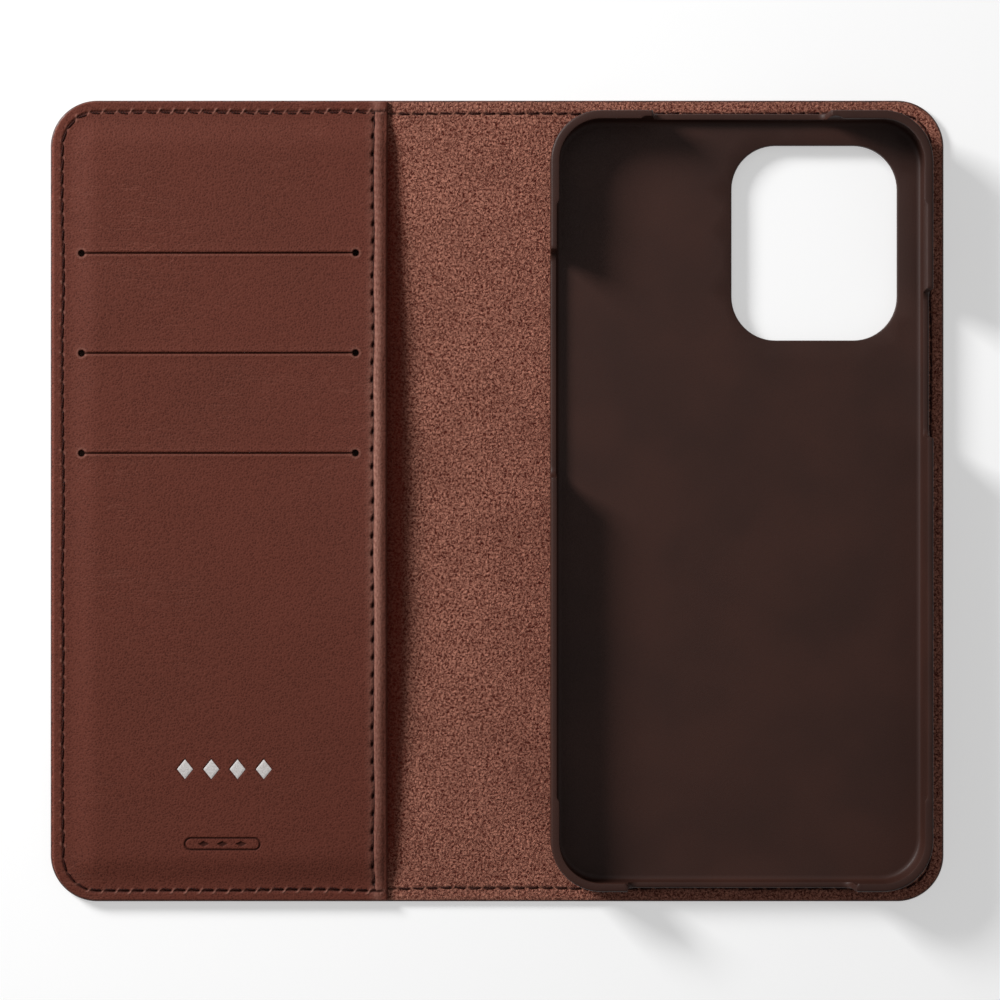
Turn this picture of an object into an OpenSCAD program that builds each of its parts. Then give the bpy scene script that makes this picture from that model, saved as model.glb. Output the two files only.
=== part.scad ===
// Leather phone wallet case, lying open on its outer leather with the inside up.
// X runs from the front cover's free edge, across the spine, to the back cover's free edge.
// Y runs up the case, and Z rises out of the inside faces. All sizes are in millimetres.

/* [Case] */
// Height of the case along its spine
case_h = 165; // [164:1:180]
// Width of each cover from its fold to its free edge
cover_w = 83; // [82:0.5:90]
// Radius of the covers' free corners
corner_r = 9.6; // [6:0.2:12]
// Thickness of the outer leather
leather_t = 1.4; // [1:0.1:2]

/* [Spine] */
// Width of each of the three strips that the spine folds in
strip_w = 6; // [5.6:0.1:8]
// Gap between two strips at a fold
fold_gap = 0.2; // [0.1:0.05:0.4]

/* [Stitching] */
// Distance from the leather's edge to the middle of the seam
seam_inset = 2.7; // [2.4:0.1:3]
// Wanted length of one stitch of the edge seam
stitch_pitch = 2.9; // [2.4:0.1:4]
// Thickness of the thread
thread_d = 0.5; // [0.4:0.05:0.6]
// Width of the channel that the thread is pulled into
channel_w = 0.9; // [0.8:0.05:1]
// Depth of that channel
channel_d = 0.4; // [0.3:0.05:0.5]
// Lean of each stitch across the seam, in degrees
stitch_lean = 6; // [0:1:8]

/* [Card panel] */
// Distance from the front cover's free edge to the panel's hemmed edge
panel_reach = 69.5; // [68:0.5:74]
// Distance that the panel stands back from the edge of the outer leather
panel_inset = 0.7; // [0.4:0.1:1]
// Thickness of the panel leather
panel_t = 1; // [0.8:0.1:1.4]
// Width of the turned hem, up to its seam
hem_w = 2.9; // [2.6:0.1:3.5]
// Extra thickness of the turned hem
hem_rise = 0.3; // [0.2:0.1:0.6]
// Wanted length of one stitch of the hem
hem_pitch = 3.6; // [2.8:0.1:4.2]
// Distance between the stop holes of one slot
slot_length = 56.4; // [55:0.2:57]
// Width of the cut
slot_width = 0.35; // [0.3:0.05:0.6]
// Diameter of the stop holes
stop_hole_d = 1.3; // [1:0.1:1.6]
// Distance from the top edge to the first slot
first_slot = 31.6; // [28:0.2:34]
// Distance from one slot to the next
slot_step = 20.55; // [19:0.05:22]
// Distance from the free edge to the middle of the slots
slot_centre = 34.8; // [34:0.1:36]
// Thickness of the pocket cloth
cloth_t = 0.25; // [0.2:0.05:0.3]
// Depth of each card pocket below its slot
pocket_depth = 87; // [86:0.5:87]
// Space for banknotes between the pockets and the outer leather
note_gap = 0.2; // [0.2:0.05:0.6]

/* [Ornament] */
// Width and height of one foil lozenge
lozenge = [3.3, 4.1]; // [2:0.1:5]
// Distance between two lozenges
lozenge_step = 5.4; // [4:0.1:7]
// Distance from the top edge to the middle of the foil row
foil_drop = 137.6; // [130:0.2:140]
// How far the foil row lies from the middle of the slots, towards the fold
foil_shift = 1.2; // [0:0.1:4]
// Thickness of the foil
foil_t = 0.05; // [0.05:0.01:0.1]
// Width of the pressed cartouche
cartouche_w = 15.8; // [12:0.2:20]
// Height of the pressed cartouche
cartouche_h = 2.7; // [2.4:0.1:4]
// Distance from the top edge to the middle of the cartouche
cartouche_drop = 152.8; // [148:0.2:154]
// How far the cartouche lies from the middle of the slots, towards the fold
cartouche_shift = 0.8; // [0:0.1:4]
// Depth of the pressed lines
press_d = 0.3; // [0.2:0.05:0.4]
// Width of the pressed lines
press_w = 0.4; // [0.3:0.05:0.5]

/* [Phone tray] */
// Width of the phone
phone_w = 74.6; // [70:0.1:75.2]
// Height of the phone
phone_h = 155.6; // [146:0.2:155.6]
// Thickness of the phone
phone_t = 8; // [7:0.1:8.5]
// Clearance round the phone
phone_gap = 0.2; // [0.1:0.05:0.3]
// Corner radius of the phone
phone_r = 8.8; // [6:0.2:12]
// Thickness of the tray's walls
tray_wall = 1.3; // [1:0.1:1.4]
// Thickness of the tray's floor
tray_floor = 1.2; // [0.8:0.1:1.6]
// Reach of the snap lips over the phone
lip_reach = 0.5; // [0.3:0.1:0.8]
// Height of the snap lips
lip_h = 0.8; // [0.6:0.1:1]
// Length of a snap lip along each side of its corner
lip_run = 18; // [12:1:24]
// Distance from the tray to the back cover's free edge
tray_inset = 3.5; // [3.3:0.1:4]
// Width and height of the camera opening in the tray
camera = [34, 40]; // [20:1:44]
// Distance from the phone's top and outer edge to the camera opening
camera_inset = 5; // [4:0.5:8]
// Corner radius of the camera opening
camera_r = 9; // [4:0.5:10]
// Extra width of the opening in the leather, on each side
camera_margin = 1; // [0.5:0.1:2]
// Width and height of the pad that bonds the tray to the leather
pad = [70, 150]; // [64:1:150]
// Thickness of the pad
pad_t = 0.5; // [0.3:0.1:0.8]

/* [Hidden] */
$fn = 64;
over = 1;                                    // how far a cutter runs past a face
slot_count = 3;
spine_w = 3 * strip_w;
fold_x = spine_w / 2;                        // the covers' folds lie at +fold_x and -fold_x
half_h = case_h / 2;
seam_y = half_h - seam_inset;                // the straight seams along the top and bottom
panel_z = leather_t + note_gap + slot_count * cloth_t;
panel_top = panel_z + panel_t;
hem_x = cover_w - panel_reach;               // the hemmed edge, measured from the front fold
hem_seam_x = hem_x + hem_w;
border_w = seam_inset + 1.5;                 // the panel's border that is sewn down
seam_run = cover_w - corner_r;               // straight length of the seam along the top
seam_side = case_h - 2 * corner_r;           // straight length of the seam down the free edge
seam_r = corner_r - seam_inset;
seam_length = 2 * seam_run + seam_side + PI * seam_r;
stitch_count = round(seam_length / stitch_pitch);
stitch_step = seam_length / stitch_count;
stitch_l = 0.7 * stitch_step;
hem_run = case_h - 2 * border_w;
hem_count = round(hem_run / hem_pitch);
hem_step = hem_run / hem_count;
thread_h = channel_d - 0.05;                 // the thread lies just below the leather's face
slots = [for (i = [0:slot_count - 1]) half_h - first_slot - i * slot_step];
slot_x = cover_w - slot_centre;
pocket_w = cover_w - border_w - hem_x - hem_w + 0.7;
tray_in = [phone_w, phone_h] + 2 * [phone_gap, phone_gap];
tray_out = tray_in + 2 * [tray_wall, tray_wall];
tray_h = tray_floor + phone_t + lip_h;
tray_x = cover_w - tray_inset - tray_out.x / 2;
tray_z = leather_t + pad_t;
tray_r = phone_r + phone_gap;
camera_x = tray_x + tray_in.x / 2 - camera_inset - camera.x / 2;
camera_y = tray_in.y / 2 - camera_inset - camera.y / 2;
port_w = 46;                                 // notch for the plug in the tray's bottom wall
mic_w = 36;                                  // notch in its top wall
power_l = 30;                                // notch for the power button, in the outer wall
volume_l = 46;                               // notch for the volume buttons, in the spine wall
button_y = 28;                               // middle of both button notches
notch_sill = 2;                              // wall left below each notch
notch_r = 2;

// ---------- flat shapes ----------

// A rectangle with round corners, centred on the origin.
module rounded_rect(size, r) {
  square([size.x, size.y - 2 * r], center = true);
  square([size.x - 2 * r, size.y], center = true);
  for (x = [-1, 1], y = [-1, 1])
    translate([x * (size.x / 2 - r), y * (size.y / 2 - r)])
      circle(r);
}

// A cover: its fold lies along x = 0 and its free corners are round.
module cover_outline(inset = 0, past_fold = 0) {
  r = corner_r - inset;
  w = cover_w - inset;
  h = case_h - 2 * inset;
  translate([-past_fold, -h / 2])
    square([w - r + past_fold, h]);
  translate([-past_fold, -h / 2 + r])
    square([w + past_fold, h - 2 * r]);
  for (y = [-1, 1])
    translate([w - r, y * (h / 2 - r)])
      circle(r);
}

// The U-shaped channel that the edge seam of a cover lies in.
module seam_outline() {
  difference() {
    cover_outline(seam_inset - channel_w / 2, over);
    cover_outline(seam_inset + channel_w / 2, 2 * over);
  }
}

module card_panel_outline() {
  difference() {
    cover_outline(panel_inset);
    translate([-over, -case_h])
      square([hem_x + over, 2 * case_h]);
  }
}

module lozenge_outline(size) {
  polygon([[size.x / 2, 0], [0, size.y / 2], [-size.x / 2, 0], [0, -size.y / 2]]);
}

// ---------- seams ----------

// Where the edge seam of a cover is, and which way it runs, at length s from the fold.
s_corner = seam_run + PI / 2 * seam_r;
s_side = s_corner + seam_side;
s_return = s_side + PI / 2 * seam_r;
function arc_deg(s) = s / seam_r * 180 / PI;
function seam_angle(s) =
  s < seam_run ? 0 :
  s < s_corner ? -arc_deg(s - seam_run) :
  s < s_side ? -90 :
  s < s_return ? -90 - arc_deg(s - s_side) : -180;
function seam_point(s) =
  s < seam_run ? [s, seam_y] :
  s < s_corner ? arc_point(1, 90 + seam_angle(s)) :
  s < s_side ? [cover_w - seam_inset, seam_side / 2 - (s - s_corner)] :
  s < s_return ? arc_point(-1, 90 + seam_angle(s)) : [seam_run - (s - s_return), -seam_y];
function arc_point(end, a) =
  [seam_run + seam_r * cos(a), end * (half_h - corner_r) + seam_r * sin(a)];

// One stitch: a short bar of thread, with its underside at height 0.
module stitch(length, h = thread_h) {
  rotate([0, 0, stitch_lean])
    translate([-length / 2, -thread_d / 2, 0])
      cube([length, thread_d, h]);
}

// The stitches of a cover's edge seam, on its inside face. The face is at height
// near_z up to near_x from the fold, and at far_z beyond; the thread climbs at near_x.
module edge_seam(near_z, far_z, near_x) {
  for (i = [0:stitch_count - 1]) {
    s = (i + 0.5) * stitch_step;
    p = seam_point(s);
    if (abs(p.x - near_x) > stitch_l / 2 + 0.2)
      translate([p.x, p.y, (p.x < near_x ? near_z : far_z) - channel_d])
        rotate([0, 0, seam_angle(s)])
          stitch(stitch_l);
  }
}

// The same seam as it shows on the outside face, at height 0.
module outer_seam() {
  for (i = [0:stitch_count - 1]) {
    s = (i + 0.5) * stitch_step;
    p = seam_point(s);
    translate([p.x, p.y, channel_d - thread_h])
      rotate([0, 0, seam_angle(s)])
        stitch(stitch_l);
  }
}

// ---------- front cover, drawn from its fold towards +X and then mirrored ----------

module on_front() {
  translate([-fold_x, 0, 0])
    mirror([1, 0, 0])
      children();
}

module on_back() {
  translate([fold_x, 0, 0])
    children();
}

// One cover's leather, with the seam's channels in both faces.
module cover_leather() {
  difference() {
    linear_extrude(leather_t)
      cover_outline();
    translate([-over, -case_h, -over])
      cube([over + fold_gap / 2, 2 * case_h, leather_t + 2 * over]);
    for (z = [-over, leather_t - channel_d])
      translate([0, 0, z])
        linear_extrude(channel_d + over)
          seam_outline();
  }
}

module front_cover_leather() {
  color("saddlebrown")
    on_front()
      cover_leather();
}

// A slot for a card, with a stop hole at each end.
module card_slot() {
  translate([-slot_length / 2, -slot_width / 2, -over])
    cube([slot_length, slot_width, panel_t + 2 * over]);
  for (x = [-1, 1])
    translate([x * slot_length / 2, 0, -over])
      cylinder(d = stop_hole_d, h = panel_t + 2 * over);
}

// Pressed lines: a round-ended frame with three lozenges in it.
module pressed_cartouche() {
  outer = [cartouche_w, cartouche_h];
  inner = outer - 2 * [press_w, press_w];
  mark = [2.4, 1.2];
  linear_extrude(press_d + over) {
    difference() {
      rounded_rect(outer, outer.y / 2 - 0.01);
      rounded_rect(inner, inner.y / 2 - 0.01);
    }
    for (i = [-1:1])
      translate([i * 1.6 * mark.x, 0])
        lozenge_outline(mark);
  }
}

module card_panel() {
  color("sienna")
    on_front()
      difference() {
        union() {
          translate([0, 0, panel_z])
            linear_extrude(panel_t)
              card_panel_outline();
          // The border that turns down to the outer leather on the three sewn sides
          translate([0, 0, leather_t])
            linear_extrude(panel_z - leather_t)
              difference() {
                card_panel_outline();
                translate([hem_x - over, -half_h + border_w])
                  square([cover_w - border_w - hem_x + over, case_h - 2 * border_w]);
              }
          // The turned hem
          translate([hem_x, -hem_run / 2, panel_top - over / 2])
            cube([hem_w - channel_w / 2, hem_run, over / 2 + hem_rise]);
        }
        for (y = slots)
          translate([slot_x, y, panel_z])
            card_slot();
        translate([0, 0, panel_top - channel_d])
          linear_extrude(channel_d + over)
            seam_outline();
        translate([hem_seam_x - channel_w / 2, -hem_run / 2, panel_top - channel_d])
          cube([channel_w, hem_run, channel_d + over]);
        translate([slot_x - cartouche_shift, half_h - cartouche_drop, panel_top - press_d])
          pressed_cartouche();
      }
}

// The cloth behind slot i. The first slot's cloth lies deepest.
module card_pocket(i) {
  color("tan")
    on_front()
      translate([hem_x + hem_w - 0.7, slots[i] + 1 - pocket_depth, leather_t + note_gap + i * cloth_t])
        cube([pocket_w, pocket_depth, cloth_t]);
}

module card_pocket_upper() {
  card_pocket(0);
}

module card_pocket_middle() {
  card_pocket(1);
}

module card_pocket_lower() {
  card_pocket(2);
}

// A row of four foil lozenges pressed on the panel.
module foil_ornament() {
  color("gainsboro")
    on_front()
      for (i = [-1.5:1.5])
        translate([slot_x - foil_shift + i * lozenge_step, half_h - foil_drop, panel_top])
          linear_extrude(foil_t)
            lozenge_outline(lozenge);
}

module front_edge_stitching() {
  color("black")
    on_front() {
      edge_seam(leather_t, panel_top, hem_x);
      outer_seam();
    }
}

// The hem's seam goes through the panel and the pockets, and not the outer leather.
module hem_stitching() {
  color("black")
    on_front()
      for (i = [0:hem_count - 1])
        translate([hem_seam_x, -hem_run / 2 + (i + 0.5) * hem_step, 0])
          rotate([0, 0, 90]) {
            translate([0, 0, panel_top - channel_d])
              stitch(0.7 * hem_step);
            translate([0, 0, leather_t + 0.02])
              stitch(0.7 * hem_step, note_gap - 0.04);
          }
}

// ---------- spine ----------

// Strip i of the outer leather: -1 is next to the front cover, 1 next to the back cover.
module spine_strip(i) {
  w = strip_w - fold_gap;
  color("saddlebrown")
    translate([i * strip_w, 0, 0])
      difference() {
        translate([-w / 2, -half_h, 0])
          cube([w, case_h, leather_t]);
        for (y = [-1, 1], z = [-over, leather_t - channel_d])
          translate([-strip_w, y * seam_y - channel_w / 2, z])
            cube([2 * strip_w, channel_w, channel_d + over]);
      }
}

// Two stitches to a strip, along the top and the bottom and on both faces.
module spine_seam(i) {
  color("black")
    for (x = [-1, 1], y = [-1, 1], z = [channel_d - thread_h, leather_t - channel_d])
      translate([i * strip_w + x * strip_w / 4, y * seam_y, z])
        stitch(stitch_l);
}

module spine_leather_front() {
  spine_strip(-1);
}

module spine_leather_middle() {
  spine_strip(0);
}

module spine_leather_back() {
  spine_strip(1);
}

module spine_stitching_front() {
  spine_seam(-1);
}

module spine_stitching_middle() {
  spine_seam(0);
}

module spine_stitching_back() {
  spine_seam(1);
}

// ---------- back cover ----------

// A prism through the camera opening, wider than the phone's camera by the margin.
module camera_opening(margin) {
  translate([camera_x, camera_y, -over])
    linear_extrude(tray_z + tray_floor + 2 * over)
      rounded_rect(camera + 2 * [margin, margin], camera_r + margin);
}

module back_cover_leather() {
  color("saddlebrown")
    on_back()
      difference() {
        cover_leather();
        camera_opening(camera_margin);
      }
}

module back_edge_stitching() {
  color("black")
    on_back() {
      edge_seam(leather_t, leather_t, -cover_w);
      outer_seam();
    }
}

// The pad is L-shaped, because it leaves the camera's corner free.
module tray_mounting_pad() {
  color("dimgray")
    on_back()
      translate([0, 0, leather_t])
        linear_extrude(pad_t)
          difference() {
            translate([tray_x, 0])
              rounded_rect(pad, camera_r);
            translate([camera_x, camera_y] - camera / 2 - [camera_margin, camera_margin])
              square(pad);
          }
}

// A notch cut down from the rim of a wall that runs along X, with round lower corners.
module wall_notch(length) {
  depth = tray_h - tray_floor - notch_sill;
  translate([0, 0, tray_h + over])
    rotate([90, 0, 0])
      linear_extrude(4 * tray_wall, center = true) {
        translate([-length / 2, -depth - over + notch_r])
          square([length, depth + 2 * over - notch_r]);
        translate([-length / 2 + notch_r, -depth - over])
          square([length - 2 * notch_r, depth]);
        for (x = [-1, 1])
          translate([x * (length / 2 - notch_r), -depth - over + notch_r])
            circle(notch_r);
      }
}

module phone_tray() {
  rim_z = tray_h - lip_h;
  color([0.26, 0.15, 0.12])
    on_back() {
      difference() {
        translate([tray_x, 0, tray_z])
          difference() {
            linear_extrude(tray_h)
              rounded_rect(tray_out, tray_r + tray_wall);
            translate([0, 0, tray_floor])
              linear_extrude(phone_t)
                rounded_rect(tray_in, tray_r);
            // The mouth between the four snap lips
            translate([0, 0, rim_z - 0.01])
              linear_extrude(lip_h + over)
                rounded_rect(tray_in - 2 * [lip_reach, lip_reach], tray_r - lip_reach);
            translate([0, 0, rim_z + (lip_h + over) / 2 - 0.01])
              cube([tray_in.x, tray_in.y - 2 * lip_run, lip_h + over], center = true);
            translate([0, 0, rim_z + (lip_h + over) / 2 - 0.01])
              cube([tray_in.x - 2 * lip_run, tray_in.y, lip_h + over], center = true);
            translate([0, -tray_out.y / 2, 0])
              wall_notch(port_w);
            translate([0, tray_out.y / 2, 0])
              wall_notch(mic_w);
            translate([tray_out.x / 2, button_y, 0])
              rotate([0, 0, 90])
                wall_notch(power_l);
            translate([-tray_out.x / 2, button_y, 0])
              rotate([0, 0, 90])
                wall_notch(volume_l);
          }
        camera_opening(0);
      }
    }
}

front_cover_leather();
card_panel();
card_pocket_upper();
card_pocket_middle();
card_pocket_lower();
foil_ornament();
front_edge_stitching();
hem_stitching();
spine_leather_front();
spine_leather_middle();
spine_leather_back();
spine_stitching_front();
spine_stitching_middle();
spine_stitching_back();
back_cover_leather();
back_edge_stitching();
tray_mounting_pad();
phone_tray();
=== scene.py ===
"""The looks of the leather phone wallet case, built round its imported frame.

The case lies open on its outer leather. Shapes are worked out in millimetres, and a cover's in
its own plane: u runs from the cover's fold to its free edge, v runs up the case, and s and t run
along the edge seam and in from the leather's edge.
"""

import math

import bmesh
import bpy
import numpy as np
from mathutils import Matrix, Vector
from mathutils.geometry import delaunay_2d_cdt


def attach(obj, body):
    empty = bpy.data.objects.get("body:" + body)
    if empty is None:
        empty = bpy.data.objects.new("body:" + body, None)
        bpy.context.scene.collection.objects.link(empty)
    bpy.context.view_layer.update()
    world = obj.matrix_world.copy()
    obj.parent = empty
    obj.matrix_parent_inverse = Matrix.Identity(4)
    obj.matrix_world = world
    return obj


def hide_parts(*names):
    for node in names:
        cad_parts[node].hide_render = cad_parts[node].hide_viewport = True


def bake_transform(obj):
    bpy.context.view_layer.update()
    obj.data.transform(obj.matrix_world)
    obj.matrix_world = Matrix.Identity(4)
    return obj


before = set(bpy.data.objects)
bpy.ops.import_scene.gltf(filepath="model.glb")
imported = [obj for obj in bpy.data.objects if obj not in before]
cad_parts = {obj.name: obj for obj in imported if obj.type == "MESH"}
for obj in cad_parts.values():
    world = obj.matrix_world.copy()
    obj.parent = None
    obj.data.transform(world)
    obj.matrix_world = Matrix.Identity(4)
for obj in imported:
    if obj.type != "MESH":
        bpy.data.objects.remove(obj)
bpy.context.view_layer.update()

MM = 0.001
PI = math.pi

# ---------- sizes shared with the frame, in mm ----------

HALF_H = 82.5  # half the case's height
COVER_W = 83.0
CORNER_R = 9.6
LEATHER_T = 1.4
FOLD_X = 9.0  # the covers' folds lie at -FOLD_X and FOLD_X
STRIP_W = 6.0  # the four folds are this far apart
SEAM = 2.7  # the edge seam's distance from the leather's edge
STITCHES = 109  # stitches round one cover
SPINE_STEP = 3.0  # from one awl hole to the next on the spine
PANEL_EDGE = 0.7  # the panel stands back this far from the leather's edge
PANEL_T = 1.0
PANEL_LOW = LEATHER_T + PANEL_T
PANEL_TOP = 3.35  # the panel's face where it lies over the pockets
HEM_X = 13.5  # the panel's hemmed edge
HEM_SEAM = 16.4
HEM_END = 78.3  # the hem's seam runs from -HEM_END to HEM_END
HEM_STITCHES = 44
HEM_STEP = 2 * HEM_END / HEM_STITCHES
MOUTH_BOW = 2.6  # the panel's open edge stands up this far in its middle
SLOT_X = 48.2
SLOT_HALF = 28.2  # from a slot's middle to its stop holes
SLOT_Y = (50.9, 30.35, 9.8)
STOP_R = 0.65
POCKET_U = (15.7, COVER_W - 4.2)  # from beside the hem's seam to beside the edge seam
POCKET_DEPTH = 87.0
FOIL_X = 47.0
FOIL_Y = -55.1
FOIL_STEP = 5.4
LOZENGE = (3.3, 4.1)
MARK_X = 47.4
MARK_Y = -70.3
MARK_SIZE = (15.8, 2.7)
TRAY_X = 49.7  # middle of the tray, in the row frame
TRAY_SIZE = (77.6, 158.6)
TRAY_R = 10.3
TRAY_WALL = 1.3
TRAY_FLOOR = 1.2
TRAY_Z = 1.9
TRAY_H = 10.0
CAMERA = (65.2, 53.0, 34.0, 40.0, 9.0)  # middle, width, height and corner radius
# The tray's notches: the wall's axis and side, then the notch's middle and length.
NOTCHES = ((1, -1, 0, 46), (1, 1, 0, 36), (0, 1, 28, 30), (0, -1, 28, 46))
PAD_SIZE = (70.0, 150.0)
# The corner that the pad leaves free for the camera: where it starts, and its size.
PAD_NOTCH = (CAMERA[0] - CAMERA[2] / 2 - 1, CAMERA[1] - CAMERA[3] / 2 - 1)

# ---------- lines along the edge seam ----------

RUN = COVER_W - CORNER_R  # straight part along the top
SIDE = 2 * (HALF_H - CORNER_R)  # straight part down the free edge
BEND = PI / 2 * (CORNER_R - SEAM)  # one corner, measured on the seam
LENGTH = 2 * RUN + SIDE + 2 * BEND
STEP = LENGTH / STITCHES


def edge_point(s, t):
    """The point of a cover's plane at s along the edge seam and t in from the edge."""
    s, t = np.broadcast_arrays(np.asarray(s, float), np.asarray(t, float))
    r = CORNER_R - t
    a = PI / 2 * (np.clip((s - RUN) / BEND, 0, 1) + np.clip((s - RUN - BEND - SIDE) / BEND, 0, 1))
    down = np.clip(s - RUN - BEND, 0, SIDE)
    back = np.maximum(s - RUN - 2 * BEND - SIDE, 0)
    return np.stack([np.minimum(s, RUN) - back + r * np.sin(a),
                     HALF_H - CORNER_R - down + r * np.cos(a)], -1)


def edge_heading(s):
    """The way the seam runs at s, as an angle from +u."""
    return -PI / 2 * (np.clip((s - RUN) / BEND, 0, 1)
                      + np.clip((s - RUN - BEND - SIDE) / BEND, 0, 1))


def edge_place(u, v):
    """The s and t of points of a cover's plane."""
    top, side = HALF_H - np.abs(v), COVER_W - u
    du, dv = u - RUN, np.abs(v) - (HALF_H - CORNER_R)
    corner = (du > 0) & (dv > 0)
    turn = np.arctan2(np.maximum(du, 0), np.maximum(dv, 1e-9)) / (PI / 2) * BEND
    t = np.where(corner, CORNER_R - np.hypot(du, dv), np.minimum(top, side))
    upper = np.where(corner, RUN + turn, np.where(top < side, u, RUN + BEND + HALF_H - CORNER_R - v))
    lower = np.where(corner, LENGTH - RUN - turn,
                     np.where(top < side, LENGTH - u, RUN + BEND + HALF_H - CORNER_R - v))
    return np.where(v > 0, upper, lower), t


def hole_number(s):
    """Rises by one from each awl hole to the next."""
    return np.where(s < 0, s / SPINE_STEP,
                    np.where(s > LENGTH, STITCHES + (s - LENGTH) / SPINE_STEP, s / STEP))


def bell(x, width):
    return np.exp(-(x / width) ** 2)


def smooth(x):
    x = np.clip(x, 0, 1)
    return x * x * (3 - 2 * x)


def off_hole(n):
    """Distance along the seam to the nearest awl hole, from hole numbers."""
    return (n - np.round(n)) * STEP


def waves(u, v, size, seed, count=7):
    """A smooth uneven surface from 0 to 1, with humps about size mm apart."""
    rng = np.random.default_rng(seed)
    total = 0
    for _ in range(count):
        angle, k = rng.uniform(0, PI), 2 * PI / (size * rng.uniform(0.7, 1.6))
        total = total + np.sin(k * (u * np.cos(angle) + v * np.sin(angle)) + rng.uniform(0, 2 * PI))
    return 0.5 + 0.5 * np.tanh(total / count ** 0.5)


# ---------- reliefs ----------

LEAN = 0.7  # how far a pucker leans inside, in mm along for each mm across
HOLE_TURN = 0.56  # an awl hole's angle to the seam on the grain face
THREAD_TURN = 0.19  # the angle at which the thread crosses from hole to hole there


def seam_wander(s):
    """The inside of the edge seam isn't quite straight."""
    return 0.3 * (waves(s, 0 * s, 24, 9) - 0.5)


def gap_width(s):
    """How much leather shows between two stitches: less down the free edge."""
    return 1 - 0.75 * smooth((s - RUN) / 8) * smooth((LENGTH - RUN - s) / 8)


def pucker_place(s, t):
    """Distances along and across the inside seam from the nearest slanted pucker."""
    d = t - SEAM - seam_wander(s)
    return off_hole(hole_number(s)) - LEAN * d, d


def inside_seam(s, t):
    """Height that the edge seam adds to an inside face: a groove, and puckers beside each hole."""
    along, d = pucker_place(s, t)
    pucker = bell(along, 0.34) * (bell(d + 0.4, 0.22) + 0.7 * bell(d - 0.42, 0.2))
    bridge = bell(along, 0.24) * bell(d, 0.3) * gap_width(s)
    uneven = 0.4 + 1.2 * waves(s, 0 * s, 6, 3)
    return -0.2 * bell(d, 0.28) + uneven * (0.12 * pucker + 0.16 * bridge)


def awl_hole(s, t):
    """1 in the middle of each awl hole of the grain face, a slanted oval, and 0 away from it."""
    along, across = off_hole(hole_number(s)), t - SEAM
    c, n = math.cos(HOLE_TURN), math.sin(HOLE_TURN)
    return bell(along * c + across * n, 0.5) * bell(across * c - along * n, 0.28)


def outside_seam(s, t):
    """Height that the seam adds to the grain face: a groove and the awl holes."""
    d = t - SEAM
    return -0.14 * bell(d, 0.5) - 0.7 * awl_hole(s, t) + 0.05 * bell(np.abs(d) - 0.75, 0.3)


def hem_place(u, v):
    """Distance across the hem's seam, towards the hemmed edge, and its hole number."""
    wander = 0.24 * (waves(v, 0 * v, 17, 13) - 0.5)
    return HEM_SEAM - u + wander, (v + HEM_END) / (2 * HEM_END) * HEM_STITCHES


def hem_relief(u, v):
    """The turned hem: a groove at its seam, a soft roll, and a slope down to the fold."""
    w, n = hem_place(u, v)
    along = (n - np.round(n)) * HEM_STEP
    inside = smooth((HEM_END + 0.6 - np.abs(v)) / 1.2)
    roll = 0.38 * smooth((w - 0.1) / 0.5) - 0.85 * np.clip((w - 1.0) / 1.9, 0, 1) ** 2
    hole = -0.6 * bell(along - 0.5 * w, 0.5) * bell(w + 0.14, 0.26)
    groove = -0.18 * bell(w, 0.25)
    wrinkle = 0.07 * (waves(2 * u, v, 1.2, 11) - 0.5) * smooth(w / 0.6)
    return smooth((HALF_H - 0.5 - np.abs(v)) / 3) * roll + inside * (hole + groove + wrinkle)


def mouth_bow(u, v):
    """How far the panel stands up at its open, hemmed edge."""
    return MOUTH_BOW * np.cos(np.clip(v / HEM_END, -1, 1) * PI / 2) ** 1.2 * np.exp(-(u - HEM_X) / 16)


def slot_distance(u, v, y):
    """Distance from a slot's middle line, and from its nearer stop hole."""
    du = np.abs(u - SLOT_X)
    return (np.hypot(np.maximum(du - SLOT_HALF, 0), v - y),
            np.hypot(du - SLOT_HALF, v - y))


def slot_lips(u, v):
    """The panel's face rolls up a little beside each cut, and down into the stop holes."""
    h = 0
    for y in SLOT_Y:
        line, stop = slot_distance(u, v, y)
        h = h + 0.07 * bell(line - 0.5, 0.4) - 0.1 * bell(np.maximum(line - 0.15, 0), 0.12)
        h = h + 0.07 * bell(stop - 1.15, 0.35) - 0.06 * bell(np.maximum(stop - STOP_R, 0), 0.16)
    return h


def lozenge_depth(u, v, u0, v0, w, h):
    """How far points lie inside a lozenge, in mm, negative outside."""
    slope = math.hypot(1 / w, 1 / h)
    return (0.5 - np.abs(u - u0) / w - np.abs(v - v0) / h) / slope


def foil_places():
    return [FOIL_X + i * FOIL_STEP for i in (-1.5, -0.5, 0.5, 1.5)]


def cartouche_depth(u, v):
    """How deep points lie in the pressed cartouche: 1 on its lines, 0 off them."""
    du = np.maximum(np.abs(u - MARK_X) - (MARK_SIZE[0] - MARK_SIZE[1]) / 2, 0)
    ring = np.abs(np.hypot(du, v - MARK_Y) - MARK_SIZE[1] / 2 + 0.2)
    pressed = 1 - smooth((ring - 0.08) / 0.2)
    for i in (-1, 0, 1):
        inside = lozenge_depth(u, v, MARK_X + i * 3.84, MARK_Y, 2.4, 1.2)
        pressed = np.maximum(pressed, smooth((inside + 0.06) / 0.2))
    return pressed


def pressed_marks(u, v):
    """The hollows of the cartouche and of the foil stamping."""
    h = -0.24 * cartouche_depth(u, v)
    for u0 in foil_places():
        inside = lozenge_depth(u, v, u0, FOIL_Y, *LOZENGE)
        h = h - 0.13 * smooth((inside + 0.22) / 0.24)
    return h


def panel_base(u, v):
    """Height of the panel's face without its seams and marks."""
    crown = smooth((edge_place(u, v)[1] - 3.5) / 6.5)
    uneven = 0.1 * (waves(u, v, 26, 5) - 0.5) * crown
    return PANEL_LOW + (PANEL_TOP - PANEL_LOW) * crown + mouth_bow(u, v) + uneven


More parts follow.
